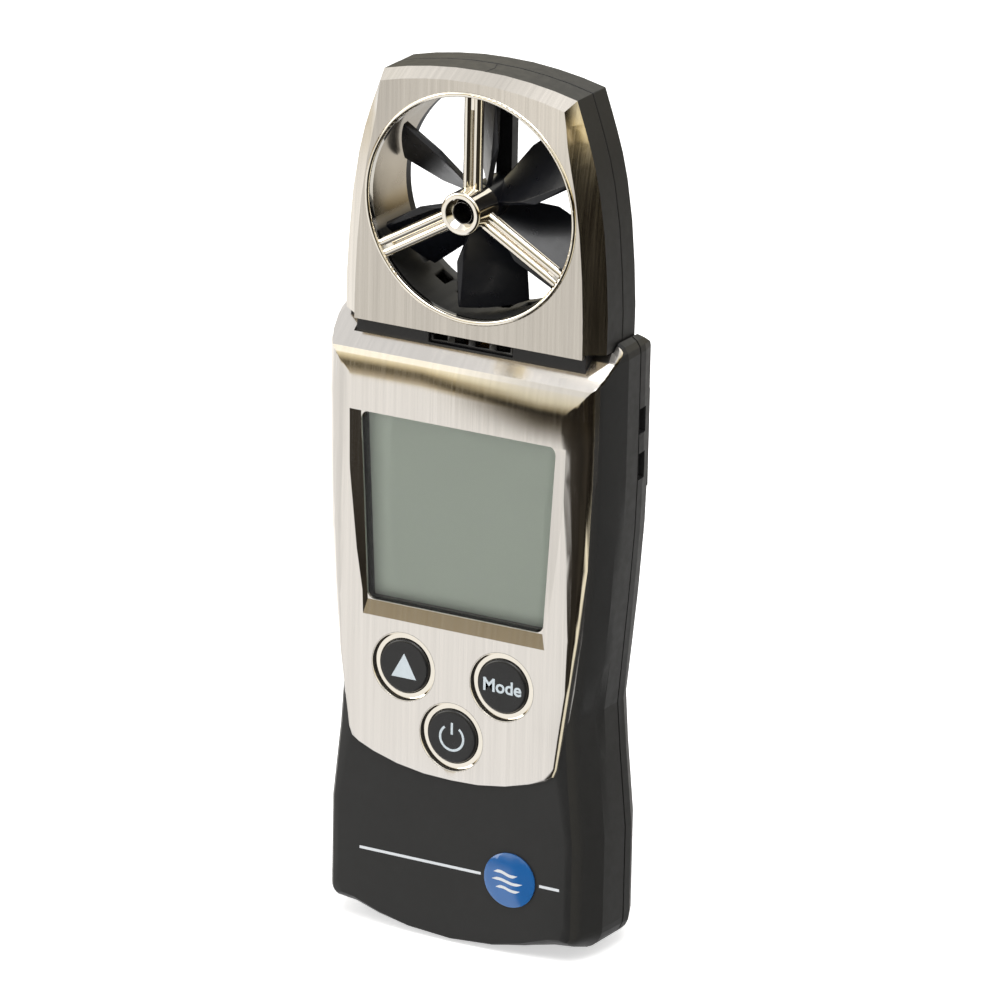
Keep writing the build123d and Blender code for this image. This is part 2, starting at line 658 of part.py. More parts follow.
# ---------------------------------------------------------------------- duct
def radial_location(angle, radius, depth, turn, offset=0.0):
    """Place at a radius along a strut, offset sideways, turned about Y."""
    cos_a, sin_a = math.cos(math.radians(angle)), math.sin(math.radians(angle))
    return Location((radius * cos_a - offset * sin_a, y_of(depth),
                     DUCT_Z + radius * sin_a + offset * cos_a), (0, turn - angle, 0))


def strut_box(angle, radius, depth, length, thickness, width):
    """Box along a strut, centred at a radius and depth."""
    with Locations(radial_location(angle, radius, depth, 0)):
        Box(length, thickness, width)


with BuildPart() as duct_liner:
    axis_rod(DUCT_SEAT_R, LINER_FRONT, LINER_REAR)
    cut_axis(DUCT_R)
    # windows down to the sensor chamber
    for k in range(8):
        window_x = -12.25 + 3.5 * k
        cut_box(window_x - 0.95, window_x + 0.95, 9.9, 12.6, 90.0, DUCT_Z - 8.0)

with BuildPart() as vane_guard:
    axis_rod(DUCT_SEAT_R, 2.35, LINER_FRONT)
    cut_axis(DUCT_R)
    fillet(vane_guard.edges().filter_by(GeomType.CIRCLE).group_by(Axis.Y)[0], 0.35)
    for angle in STRUT_ANGLES:
        # a web with two round ribs along its front, and a foot on the ring
        strut_box(angle, 9.45, 3.9, 13.4, 1.0, 1.9)
        strut_box(angle, 15.6, 3.2, 2.2, 0.6, 2.3)
        for side in (-0.78, 0.78):
            with Locations(radial_location(angle, 9.55, 3.4, 90, side)):
                Cylinder(0.72, 13.4)
    # hub with a rounded rim and a chamfered bore
    axis_rod(3.15, -0.3, 5.2)
    cut_axis(1.45, -1, 6)
    fillet(vane_guard.edges().filter_by(GeomType.CIRCLE).group_by(Axis.Y)[0]
           .sort_by(SortBy.RADIUS)[-1], 0.4)
    chamfer(vane_guard.edges().filter_by(GeomType.CIRCLE).group_by(Axis.Y)[0]
            .sort_by(SortBy.RADIUS)[0], 0.85)
    cut_axis(FRONT_BEARING_R, 3.4, 6)

with BuildPart() as front_bearing:
    axis_rod(FRONT_BEARING_R, 3.4, 5.1)
    cut_axis(SHAFT_BORE_R, 4.2, 6)

with BuildPart() as rear_bridge:
    axis_rod(DUCT_SEAT_R, LINER_REAR, HEAD_REAR)
    cut_axis(DUCT_R)
    chamfer(rear_bridge.edges().filter_by(GeomType.CIRCLE).group_by(Axis.Y)[-1], 0.3)
    for angle in STRUT_ANGLES:
        strut_box(angle, 9.2, 13.3, 13.8, 1.8, 2.5)
        strut_box(angle, 15.6, 13.8, 2.2, 0.8, 2.5)
    axis_rod(3.0, 11.9, 14.4)
    cut_axis(REAR_BEARING_R, 10, 13.3)

with BuildPart() as rear_bearing:
    axis_rod(REAR_BEARING_R, 12.0, 13.3)
    cut_axis(SHAFT_BORE_R, 11, 12.8)

# --------------------------------------------------------------------- rotor
# Blade sections: radius, half chord, pitch in degrees.
BLADE_SECTIONS = [(2.0, 2.3, 62.0), (8.6, 5.1, 46.0), (16.2, 5.1, 38.0)]

with BuildPart() as rotor:
    for k in range(ROTOR_BLADES):
        angle = math.radians(ROTOR_PHASE + k * 360.0 / ROTOR_BLADES)
        radial = Vector(math.cos(angle), 0, math.sin(angle))
        tangent = Vector(-math.sin(angle), 0, math.cos(angle))
        axis_point = Vector(0, y_of(BLADE_MID), DUCT_Z)
        for radius, half_chord, pitch in BLADE_SECTIONS:
            pitch = math.radians(pitch)
            chord = tangent * math.cos(pitch) + Vector(0, 1, 0) * math.sin(pitch)
            with BuildSketch(Plane(origin=axis_point + radial * radius, x_dir=chord,
                                   z_dir=radial)):
                Rectangle(2 * half_chord, BLADE_THICKNESS)
        loft(ruled=True)
    axis_rod(ROTOR_TIP_R, BLADE_MID - BLADE_HALF_DEPTH, BLADE_MID + BLADE_HALF_DEPTH,
             mode=Mode.INTERSECT)
    axis_rod(ROTOR_HUB_R, ROTOR_FRONT, ROTOR_REAR)
    cut_axis(SHAFT_R)
    # pocket for the ring magnet
    cut_axis(MAGNET_R, MAGNET_FRONT, 12)

with BuildPart() as rotor_shaft:
    axis_rod(SHAFT_R, 4.3, 12.7)

with BuildPart() as rotor_magnet:
    axis_rod(MAGNET_R, MAGNET_FRONT, 11.4)
    cut_axis(SHAFT_R)

# ------------------------------------------------------------------- sensors
with BuildPart() as sensor_board:
    box_at(-9.0, 9.0, 7.7, 8.7, 88.0, 91.2)
    # trimmed to the width of the cable way
    cut_box(-9.0, -5.2, 7.0, 9.2, 87.0, 92.0)
    cut_box(5.2, 9.0, 7.0, 9.2, 87.0, 92.0)

with BuildPart() as temperature_sensor:
    # bead and its lead
    with Locations((0, y_of(5.6), 90.15)):
        Sphere(0.65)
    box_at(-0.3, 0.3, 5.6, 7.4, 90.0, 90.3)

with BuildPart() as hall_sensor:
    box_at(-2.0, 2.0, 10.4, 12.4, 92.6, 93.0)

# -------------------------------------------------------------------- export
PIECES = {
    "front_shell": front_shell, "rear_shell": rear_shell, "battery_cover": battery_cover,
    "case_seal": case_seal, "neck_block": neck_block, "sensor_grille": sensor_grille,
    "body_fascia": body_fascia, "display_lens": display_lens, "lens_gasket": lens_gasket,
    "badge": badge, **{name: make_button(x, z) for name, (x, z) in BUTTONS.items()},
    "button_rings": button_rings, "keypad_mat": keypad_mat, "contact_domes": contact_domes,
    "lcd_panel": lcd_panel, "lcd_frame": lcd_frame, "lcd_connectors": lcd_connectors,
    "circuit_board": circuit_board, "board_components": board_components,
    "flex_cable": flex_cable, "battery_1": make_cell(-CELL_X, CELL_1_BASE, 1),
    "battery_2": make_cell(CELL_X, CELL_2_TOP, -1), "battery_contacts": battery_contacts,
    "battery_springs": battery_springs, "case_screws": case_screws,
    "head_fascia": head_fascia, "head_front_shell": head_front_shell,
    "head_rear_shell": head_rear_shell, "head_screws": head_screws,
    "duct_liner": duct_liner, "vane_guard": vane_guard, "front_bearing": front_bearing,
    "rear_bridge": rear_bridge, "rear_bearing": rear_bearing, "rotor": rotor,
    "rotor_shaft": rotor_shaft, "rotor_magnet": rotor_magnet,
    "sensor_board": sensor_board, "temperature_sensor": temperature_sensor,
    "hall_sensor": hall_sensor,
}
for name, piece in PIECES.items():
    piece.part.label = name
    export_step(piece.part, "parts/" + name + ".step")
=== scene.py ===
"""Handheld wind meter: a buttoned body with a display, and a round duct with a rotor in its head.

The product stands upright: +Z is up, its face looks along -Y and +X is on the right of someone
facing it. Prints are laid out in millimetres as x, depth behind the fascia face, and height z.
Material coordinates are in metres.
"""
import bpy
import bmesh
import math
from mathutils import Vector, Matrix


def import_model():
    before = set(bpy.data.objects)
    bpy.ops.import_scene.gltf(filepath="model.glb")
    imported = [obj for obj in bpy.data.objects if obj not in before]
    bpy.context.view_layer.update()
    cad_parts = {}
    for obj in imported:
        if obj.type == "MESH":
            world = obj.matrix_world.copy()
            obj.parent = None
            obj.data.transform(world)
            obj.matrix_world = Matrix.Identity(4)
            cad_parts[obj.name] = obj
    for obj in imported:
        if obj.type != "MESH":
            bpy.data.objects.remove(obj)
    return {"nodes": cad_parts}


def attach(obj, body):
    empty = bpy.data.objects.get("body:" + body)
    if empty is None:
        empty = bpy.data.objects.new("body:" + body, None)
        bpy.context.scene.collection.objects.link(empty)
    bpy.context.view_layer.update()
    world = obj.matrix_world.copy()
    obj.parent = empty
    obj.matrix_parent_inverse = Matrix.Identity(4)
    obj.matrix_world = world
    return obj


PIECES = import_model()["nodes"]
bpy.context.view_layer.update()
scene = bpy.context.scene

MM = 0.001
ORIGIN_DEPTH = 10.0         # depth of the origin behind the fascia face
DUCT_Z = 110.4              # height of the duct's axis

# Button centres (x, z) and the depth of their faces
UP_BUTTON = (-8.05, 40.97)
MODE_BUTTON = (8.05, 40.97)
POWER_BUTTON = (0.0, 31.75)
BUTTON_FACE = 0.15

PRINT_RISE = 0.015          # how far a button print stands proud
PRINT_ROOT = 0.05           # how far it is sunk behind the button face

BADGE_X, BADGE_Z = 9.85, 11.6
BADGE_SPHERE = 12.65        # radius of the badge's domed face
BADGE_SPHERE_DEPTH = 12.15  # depth of that sphere's centre


def point(x, depth, z):
    """A place in metres from x, depth behind the face and height in mm."""
    return Vector((x * MM, (depth - ORIGIN_DEPTH) * MM, z * MM))


# ------------------------------------------------------------------ node helpers
class Nodes:
    """Builds a node tree. An input is given a value or another node's output."""

    def __init__(self, tree):
        self.nodes = tree.nodes
        self.links = tree.links

    def fill(self, node, inputs):
        for key, value in inputs.items():
            socket = node.inputs[key]
            if isinstance(value, bpy.types.NodeSocket):
                self.links.new(value, socket)
            elif socket.type == "RGBA":
                socket.default_value = (*value, 1)
            else:
                socket.default_value = value

    def add(self, kind, inputs=None, **settings):
        node = self.nodes.new(kind)
        for key, value in settings.items():
            setattr(node, key, value)
        self.fill(node, inputs or {})
        return node

    def calc(self, operation, *values):
        node = self.add("ShaderNodeMath", dict(enumerate(values)), operation=operation)
        return node.outputs[0]

    def vector_calc(self, operation, *values):
        node = self.add("ShaderNodeVectorMath", dict(enumerate(values)), operation=operation)
        return node.outputs[0]

    def separate(self, vector):
        return self.add("ShaderNodeSeparateXYZ", {0: vector}).outputs

    def remap(self, value, low, high, start=0.3, end=0.7):
        """Runs from low to high as value goes from start to end."""
        return self.add("ShaderNodeMapRange", {
            "Value": value, "From Min": start, "From Max": end,
            "To Min": low, "To Max": high}).outputs["Result"]

    def mix(self, factor, a, b, data_type="RGBA", blend_type="MIX"):
        return self.add("ShaderNodeMix", {"Factor": factor, "A": a, "B": b},
                        data_type=data_type, blend_type=blend_type).outputs["Result"]

    def mix_shader(self, factor, a, b):
        return self.add("ShaderNodeMixShader", {0: factor, 1: a, 2: b}).outputs[0]


class Material(Nodes):
    """A material with a Principled shader, textured in object coordinates."""

    def __init__(self, name):
        self.data = bpy.data.materials.new(name)
        self.data.use_nodes = True
        super().__init__(self.data.node_tree)
        self.shader = self.nodes["Principled BSDF"]
        self.coords = self.add("ShaderNodeTexCoord").outputs["Object"]

    def set(self, inputs):
        self.fill(self.shader, inputs)

    def noise(self, scale, vector=None, detail=3.0, rough=0.5):
        return self.add("ShaderNodeTexNoise", {
            "Vector": vector or self.coords, "Scale": scale,
            "Detail": detail, "Roughness": rough}).outputs["Fac"]

    def bump(self, height, distance, strength):
        node = self.add("ShaderNodeBump", {
            "Height": height, "Distance": distance, "Strength": strength})
        self.set({"Normal": node.outputs["Normal"]})


def shade(color, factor):
    return tuple(channel * factor for channel in color)


# ------------------------------------------------------------------ materials
def lean_normal(look):
    """Leans the shading normal up and right towards the face's top right-hand corner."""
    x, _, z = look.separate(look.coords)
    upward = look.remap(z, 0.0, 1.0, start=0.0775, end=0.0835)
    rightward = look.remap(x, 0.0, 1.0, start=-0.006, end=0.013)
    most_lean = 0.13
    lean = look.calc("MULTIPLY", look.calc("MULTIPLY", upward, rightward), most_lean)
    offset = look.add("ShaderNodeCombineXYZ", {"X": lean, "Z": lean}).outputs[0]
    normal = look.shader.inputs["Normal"].links[0].from_socket
    leaning = look.vector_calc("ADD", normal, offset)
    look.set({"Normal": look.vector_calc("NORMALIZE", leaning)})


def head_painted_reflection_shade(look, base):
    """Paints reflection shade into the head's sheet: a little darker low down and to the left."""
    x, _, z = look.separate(look.coords)
    across = look.remap(x, 0.70, 1.0, start=-0.016, end=0.012)
    upward = look.remap(z, 0.0, 1.0, start=0.106, end=0.124)
    # painted shade: the factor on the base colour low down, before the left-to-right falloff
    # higher up
    painted_low_shade = 0.80
    tone = look.mix(upward, painted_low_shade, across, data_type="FLOAT")
    return look.mix(1.0, base, tone, blend_type="MULTIPLY")


def brushed_metal(name, color, rough, brush, streak=0.14, tone=None, crown=False):
    """Sheet with streaks that run up the part and over its edges: they vary across X only."""
    look = Material(name)
    stretched = look.add("ShaderNodeMapping", {
        "Vector": look.coords, "Scale": (1.0, 0.01, 0.01)}).outputs["Vector"]
    fine = look.noise(6500.0, stretched, detail=4.0, rough=0.65)
    broad = look.noise(1500.0, stretched, detail=2.0)
    base = look.mix(look.remap(broad, 0, 1), shade(color, 1 - streak), color)
    # tone, when given, paints reflection shade into the base colour
    if tone:
        base = tone(look, base)
    look.set({"Metallic": 1.0, "Base Color": base,
              "Roughness": look.remap(fine, rough - brush * 0.5, rough + brush)})
    # a brush of 0.1 gives a relief of 0.003 mm
    look.bump(fine, distance=0.003 * MM * (brush / 0.1), strength=0.5)
    if crown:
        lean_normal(look)
    return look.data


def metal(name, color, rough, wear=0.04):
    """Plain metal whose roughness wanders by wear either way."""
    look = Material(name)
    cloud = look.noise(300.0, detail=4.0, rough=0.6)
    look.set({"Metallic": 1.0,
              "Base Color": look.mix(look.remap(cloud, 0, 1), shade(color, 0.95), color),
              "Roughness": look.remap(cloud, rough - wear, rough + wear)})
    look.bump(look.noise(1500.0), distance=0.0000012, strength=0.25)
    return look.data


def plastic(name, color, rough, grain=0.0, grain_scale=5000.0, spec=0.5, vary=0.12, coat=0.0):
    """Moulded surface: grain is its relief in metres, vary how far its tone wanders."""
    look = Material(name)
    cloud = look.noise(120.0, detail=4.0, rough=0.6)
    look.set({"Base Color": look.mix(look.remap(cloud, 0, 1),
                                     shade(color, 1 - vary), shade(color, 1 + vary)),
              "Roughness": look.remap(look.noise(700.0), rough * 0.9, rough * 1.1),
              "Specular IOR Level": spec})
    if coat:
        look.set({"Coat Weight": coat, "Coat Roughness": 0.08})
    if grain:
        look.bump(look.noise(grain_scale, detail=2.0, rough=0.6), distance=grain, strength=0.6)
    return look.data


CHROME_COLOR = (0.88, 0.83, 0.74)
PAINTED_DUCT_SHADE = {"start": 0.1045, "end": 0.1065}   # heights over which the painted shade on the duct's floor ends


def guard_metal():
    """Bright metal; the blind bore in the hub and the ring's low inner wall are painted black as
    shade.
    """
    look = Material("guard_chrome")
    x, y, z = look.separate(look.coords)
    squares = []
    for coordinate, offset in ((x, 0.0), (z, -DUCT_Z * MM)):
        distance = look.calc("ADD", coordinate, offset)
        squares.append(look.calc("MULTIPLY", distance, distance))
    radius_squared = look.calc("ADD", *squares)
    # the hub's bore is painted black as shade
    outside_bore = look.remap(radius_squared, 0.0, 1.0, start=0.00152 ** 2, end=0.00162 ** 2)
    # the painted shade on the wall stops short of its front lip
    at_wall = look.remap(radius_squared, 0.0, 1.0, start=0.0153 ** 2, end=0.0157 ** 2)
    low_wall = look.calc("MULTIPLY", at_wall, look.remap(z, 1.0, 0.0, **PAINTED_DUCT_SHADE))
    behind_lip = look.remap(y, 0.0, 1.0, start=-0.0072, end=-0.0070)
    painted_shade_wall = look.calc("MULTIPLY", low_wall, behind_lip)
    bright = look.calc("MULTIPLY", outside_bore, look.calc("SUBTRACT", 1.0, painted_shade_wall))
    # black base colour, not metal, paints the shade in the bore and on the low wall
    look.set({"Base Color": look.mix(bright, (0.004, 0.004, 0.004), CHROME_COLOR),
              "Metallic": bright,
              "Roughness": look.remap(look.noise(300.0), 0.05, 0.09)})
    return look.data


def duct_metal():
    """Bright at the sides; the floor, round the sensor slots, is painted black as shade."""
    look = Material("duct_wall")
    bright = look.remap(look.separate(look.coords)["Z"], 0.0, 1.0, **PAINTED_DUCT_SHADE)
    floor_rough = 0.62
    side_rough = look.remap(look.noise(260.0), 0.20, 0.28)
    # the black base colour on the floor is painted shade
    look.set({"Base Color": look.mix(bright, (0.006, 0.006, 0.006), (0.60, 0.53, 0.42)),
              "Metallic": bright,
              "Roughness": look.mix(bright, floor_rough, side_rough, data_type="FLOAT")})
    return look.data


def clear_lens():
    """Transparent sheet with a faintly smeared reflection."""
    look = Material("clear_lens")
    look.nodes.remove(look.shader)
    clear = look.add("ShaderNodeBsdfTransparent", {"Color": (0.97, 0.98, 0.97)})
    smear = look.remap(look.noise(160.0), 0.02, 0.05)
    gloss = look.add("ShaderNodeBsdfGlossy", {"Roughness": smear})
    fresnel = look.add("ShaderNodeFresnel", {"IOR": 1.38})
    surface = look.mix_shader(fresnel.outputs["Fac"], clear.outputs["BSDF"],
                              gloss.outputs["BSDF"])
    look.fill(look.nodes["Material Output"], {"Surface": surface})
    return look.data


def floor_white():
    look = Material("floor_white")
    cloud = look.remap(look.noise(40.0), 0, 1)
    look.set({"Base Color": look.mix(cloud, (0.955, 0.955, 0.955), (0.97, 0.97, 0.97)),
              "Roughness": 0.9, "Specular IOR Level": 0.1,
              "Emission Color": (1, 1, 1), "Emission Strength": 0.55})
    return look.data


BRUSHED = brushed_metal("brushed_metal", color=(0.795, 0.76, 0.72), rough=0.140, brush=0.06,
                        streak=0.06, crown=True)
HEAD_METAL = brushed_metal("brushed_metal_head", color=(0.80, 0.75, 0.68), rough=0.165,
                           brush=0.07, tone=head_painted_reflection_shade)
CHROME = metal("bright_chrome", color=CHROME_COLOR, rough=0.055, wear=0.02)
STEEL = metal("steel", color=(0.62, 0.62, 0.63), rough=0.28, wear=0.06)
SHELL = plastic("charcoal_shell", color=(0.0145, 0.0145, 0.0145), rough=0.44, grain=1e-5,
                grain_scale=4600.0, spec=0.36, vary=0.04)
BLACK = plastic("black_plastic", color=(0.008, 0.008, 0.009), rough=0.40, grain=8e-6,
                grain_scale=3800.0)
SEAL = plastic("seal_rubber", color=(0.012, 0.012, 0.012), rough=0.72, grain=1e-5)
CONNECTOR = plastic("connector_rubber", color=(0.42, 0.24, 0.22), rough=0.6, grain=1e-5)
BUTTON = plastic("button_black", color=(0.009, 0.009, 0.0095), rough=0.30, grain=4e-6,
                 grain_scale=6000.0, vary=0.05)
ROTOR = plastic("rotor_black", color=(0.0045, 0.0052, 0.008), rough=0.30, grain=2e-6,
                grain_scale=5200.0, spec=0.45, coat=0.06)
LCD = plastic("lcd_face", color=(0.43, 0.475, 0.415), rough=0.42, grain=2e-7, vary=0.012)
BOARD = plastic("board_green", color=(0.02, 0.13, 0.05), rough=0.45, grain=1e-5)
COMPONENT = plastic("component_black", color=(0.02, 0.02, 0.02), rough=0.45)
FLEX = plastic("flex_amber", color=(0.5, 0.24, 0.04), rough=0.35)
CELL = plastic("cell_wrap", color=(0.10, 0.11, 0.13), rough=0.25, coat=0.4)
BEARING = plastic("bearing_dark", color=(0.006, 0.005, 0.006), rough=0.35)
MAGNET = metal("magnet_nickel", color=(0.55, 0.55, 0.56), rough=0.18)
BADGE = plastic("badge_gloss", color=(0.010, 0.085, 0.26), rough=0.16, coat=0.8, vary=0.05)
PRINT_GREY = plastic("print_grey", color=(0.42, 0.47, 0.50), rough=0.5, vary=0.03)
PRINT_WHITE = plastic("print_white", color=(0.50, 0.52, 0.54), rough=0.5, vary=0.03)
GUARD = guard_metal()
DUCT = duct_metal()
LENS = clear_lens()

# ------------------------------------------------------------------ pieces
# piece: (material, bevel width in mm, 0 for none)
LOOKS = {
    "front_shell": (SHELL, 0.10), "rear_shell": (SHELL, 0.12), "battery_cover": (SHELL, 0.12),
    "case_seal": (SEAL, 0), "neck_block": (BLACK, 0.1), "sensor_grille": (BLACK, 0),
    "body_fascia": (BRUSHED, 0.07), "display_lens": (LENS, 0), "lens_gasket": (SEAL, 0),
    "badge": (BADGE, 0.05), "button_up": (BUTTON, 0), "button_mode": (BUTTON, 0),
    "button_power": (BUTTON, 0), "button_rings": (CHROME, 0), "keypad_mat": (SEAL, 0),
    "contact_domes": (STEEL, 0), "lcd_panel": (LCD, 0), "lcd_frame": (BLACK, 0),
    "lcd_connectors": (CONNECTOR, 0), "circuit_board": (BOARD, 0),
    "board_components": (COMPONENT, 0), "flex_cable": (FLEX, 0), "battery_1": (CELL, 0.15),
    "battery_2": (CELL, 0.15), "battery_contacts": (STEEL, 0), "battery_springs": (STEEL, 0),
    "case_screws": (STEEL, 0.05), "head_fascia": (HEAD_METAL, 0),
    "head_front_shell": (SHELL, 0.06), "head_rear_shell": (SHELL, 0.12),
    "head_screws": (STEEL, 0.05), "duct_liner": (DUCT, 0), "vane_guard": (GUARD, 0.10),
    "front_bearing": (BEARING, 0), "rear_bridge": (BLACK, 0.15), "rear_bearing": (BEARING, 0),
    "rotor": (ROTOR, 0.06), "rotor_shaft": (STEEL, 0), "rotor_magnet": (MAGNET, 0),
    "sensor_board": (BOARD, 0), "temperature_sensor": (COMPONENT, 0),
    "hall_sensor": (COMPONENT, 0),
}


def dress(piece, material, bevel_width):
    """Gives a piece its material, smooth shading and softened edges."""
    mesh = piece.data
    mesh.materials.clear()
    mesh.materials.append(material)
    mesh.polygons.foreach_set("use_smooth", [True] * len(mesh.polygons))
    for attribute in list(mesh.attributes):
        if attribute.name == "custom_normal":
            mesh.attributes.remove(attribute)
    weld = piece.modifiers.new("weld", "WELD")
    weld.merge_threshold = 0.000002
    if bevel_width:
        bevel = piece.modifiers.new("bevel", "BEVEL")
        bevel.width = bevel_width * MM
        bevel.segments = 3
        bevel.limit_method = "ANGLE"
        bevel.angle_limit = math.radians(24.0)
        bevel.miter_outer = "MITER_ARC"
        bevel.use_clamp_overlap = True
    normals = piece.modifiers.new("normals", "WEIGHTED_NORMAL")
    normals.keep_sharp = True
    normals.weight = 60


def keep_crisp(name, degrees, low=(-1, -1, -1), high=(1, 1, 1)):
    """Keeps a piece's creases over an angle sharp, between two box corners in metres."""
    piece = PIECES[name]
    tree = bpy.data.node_groups.new("crisp_" + piece.name, "GeometryNodeTree")
    for direction in ("INPUT", "OUTPUT"):
        tree.interface.new_socket("Geometry", in_out=direction,
                                  socket_type="NodeSocketGeometry")
    group = Nodes(tree)

    def compare(operation, value, limit):
        return group.add("FunctionNodeCompare", {0: value, 1: limit},
                         data_type="FLOAT", operation=operation).outputs[0]

    source = group.add("NodeGroupInput")
    result = group.add("NodeGroupOutput")
    angle = group.add("GeometryNodeInputMeshEdgeAngle").outputs["Unsigned Angle"]
    place = group.separate(group.add("GeometryNodeInputPosition").outputs[0])
    chosen = compare("GREATER_THAN", angle, math.radians(degrees))
    for axis in range(3):
        for operation, limit in (("GREATER_THAN", low[axis]), ("LESS_THAN", high[axis])):
            inside = compare(operation, place[axis], limit)
            chosen = group.add("FunctionNodeBooleanMath", {0: chosen, 1: inside},
                               operation="AND").outputs[0]
    sharpened = group.add("GeometryNodeSetShadeSmooth", {
        "Geometry": source.outputs[0], "Selection": chosen, "Shade Smooth": False},
        domain="EDGE")
    group.fill(result, {0: sharpened.outputs[0]})
    modifier = piece.modifiers.new("crisp", "NODES")
    modifier.node_group = tree
    # straight after the weld, ahead of the bevel and normals
    piece.modifiers.move(piece.modifiers.find("crisp"), 1)


for name, (material, bevel_width) in LOOKS.items():
    dress(PIECES[name], material, bevel_width)
keep_crisp("body_fascia", 3.0, low=(-0.0182, -1, 0.0475), high=(0.0182, -0.0093, 0.0790))
keep_crisp("head_fascia", 12.0)
keep_crisp("front_shell", 7.0, low=(-1, -0.0045, -1))
keep_crisp("rear_shell", 9.0)
keep_crisp("head_front_shell", 12.0)
keep_crisp("head_rear_shell", 12.0)
keep_crisp("button_rings", 14.0)


# ------------------------------------------------------------------ added objects
def new_object(name, data):
    thing = bpy.data.objects.new(name, data)
    scene.collection.objects.link(thing)
    return thing


def new_mesh_object(name, verts, faces, material):
    mesh = bpy.data.meshes.new(name)
    mesh.from_pydata([tuple(vert) for vert in verts], [], faces)
    mesh.materials.append(material)
    return new_object(name, mesh)


def mount(thing, body):
    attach(thing, body)


def rectangle(x0, x1, z0, z1):
    return [(x0, z0), (x1, z0), (x1, z1), (x0, z1)]


def raised_print(name, outlines, front, back, material, body):
    """Extrudes outlines of (x, z) points between two depths."""
    verts, faces = [], []
    for outline in outlines:
        base, count = len(verts), len(outline)
        verts += [point(x, depth, z) for depth in (front, back) for x, z in outline]
        faces.append(tuple(base + i for i in range(count)))
        faces.append(tuple(base + count + i for i in reversed(range(count))))
        for i in range(count):
            j = (i + 1) % count
            faces.append((base + i, base + count + i, base + count + j, base + j))
    thing = new_mesh_object(name, verts, faces, material)
    bm = bmesh.new()
    bm.from_mesh(thing.data)
    bmesh.ops.recalc_face_normals(bm, faces=bm.faces)
    bm.to_mesh(thing.data)
    bm.free()
    mount(thing, body)


def button_print(name, outlines, body):
    raised_print(name, outlines, BUTTON_FACE - PRINT_RISE, BUTTON_FACE + PRINT_ROOT,
                 PRINT_GREY, body)


def up_icon():
    """A triangle pointing up."""
    x, z = UP_BUTTON
    half_width, above, below = 2.05, 2.0, 1.75
    triangle = [(x, z + above), (x - half_width, z - below), (x + half_width, z - below)]
    button_print("icon_up", [triangle], "up_button")


def power_icon():
    """A ring open at the top, with an upright stroke in the gap."""
    x, z = POWER_BUTTON
    inner, outer = 1.72, 2.08
    ring_z = z - 0.15
    half_gap = 38           # degrees either side of the top
    steps = 40
    half_stroke = 0.18
    stroke_bottom, stroke_top = 0.35, 2.15      # above the button's centre

    def on_ring(radius, step):
        angle = math.radians(90 + half_gap + (360 - 2 * half_gap) * step / steps)
        return (x + radius * math.cos(angle), ring_z + radius * math.sin(angle))

    outlines = [[on_ring(inner, i), on_ring(outer, i), on_ring(outer, i + 1),
                 on_ring(inner, i + 1)] for i in range(steps)]
    outlines.append(rectangle(x - half_stroke, x + half_stroke,
                              z + stroke_bottom, z + stroke_top))
    button_print("icon_power", outlines, "power_button")


def mode_label():
    """The word on the mode button, turned to stand up and face the front."""
    half_thickness = 0.03
    text = bpy.data.curves.new("mode_label", "FONT")
    text.body = "Mode"
    text.align_x = "CENTER"
    text.align_y = "CENTER"
    text.size = 2.75 * MM
    text.extrude = half_thickness * MM
    text.offset = 0.00006   # thickens the letters, in metres
    carrier = new_object("label_mode_curve", text)
    bpy.context.view_layer.update()
    evaluated = carrier.evaluated_get(bpy.context.evaluated_depsgraph_get())
    mesh = bpy.data.meshes.new_from_object(evaluated)
    bpy.data.objects.remove(carrier)
    x, z = MODE_BUTTON
    centre = point(x, BUTTON_FACE - PRINT_RISE + half_thickness, z - 0.1)
    mesh.transform(Matrix.Translation(centre) @ Matrix.Rotation(math.radians(90), 4, "X"))
    mesh.materials.clear()
    mesh.materials.append(PRINT_GREY)
    mount(new_object("label_mode", mesh), "mode_button")


def shell_line():
    """A level line across the foot of the front, broken round the badge."""
    bottom, top = 11.4, 11.82
    half_break = 4.8
    raised_print("print_line",
                 [rectangle(-15.1, BADGE_X - half_break, bottom, top),
                  rectangle(BADGE_X + half_break, 17.9, bottom, top)],
                 0.43, 0.5, PRINT_WHITE, "handset")


def badge_depth(x, z):
    """Depth of the badge's domed face."""
    radius_squared = (x - BADGE_X) ** 2 + (z - BADGE_Z) ** 2
    return BADGE_SPHERE_DEPTH - math.sqrt(BADGE_SPHERE ** 2 - radius_squared)


def badge_strokes():
    """Three wavy wind strokes that follow the badge's dome."""
    # start x, end x, height, from the badge's centre
    strokes = ((-2.3, 1.6, 1.15), (-2.6, 2.4, 0.0), (-1.9, 2.0, -1.15))
    steps = 18
    rise, root = 0.012, 0.05        # proud of the dome and sunk into it
    wave = 0.22
    body_half, tip_half = 0.20, 0.02    # half-width of a stroke, added to that of its tips
    verts, faces = [], []
    for start, end, height in strokes:
        base = len(verts)
        for i in range(steps + 1):
            along = i / steps
            x = BADGE_X + start + (end - start) * along
            middle = BADGE_Z + height + wave * math.sin(along * 6.0)
            half = body_half * min(1.0, 6 * along, 6 * (1 - along)) + tip_half
            for z in (middle - half, middle + half):
                verts.append(point(x, badge_depth(x, z) - rise, z))
                verts.append(point(x, badge_depth(x, z) + root, z))
        for i in range(steps):
            a = base + 4 * i
            b = a + 4
            faces += [(a, a + 2, b + 2, b), (a + 1, b + 1, b + 3, a + 3),
                      (a, b, b + 1, a + 1), (a + 2, a + 3, b + 3, b + 2)]
        last = base + 4 * steps
        faces += [(base, base + 1, base + 3, base + 2), (last, last + 2, last + 3, last + 1)]
    thing = new_mesh_object("badge_strokes", verts, faces, PRINT_WHITE)
    mount(thing, "handset")


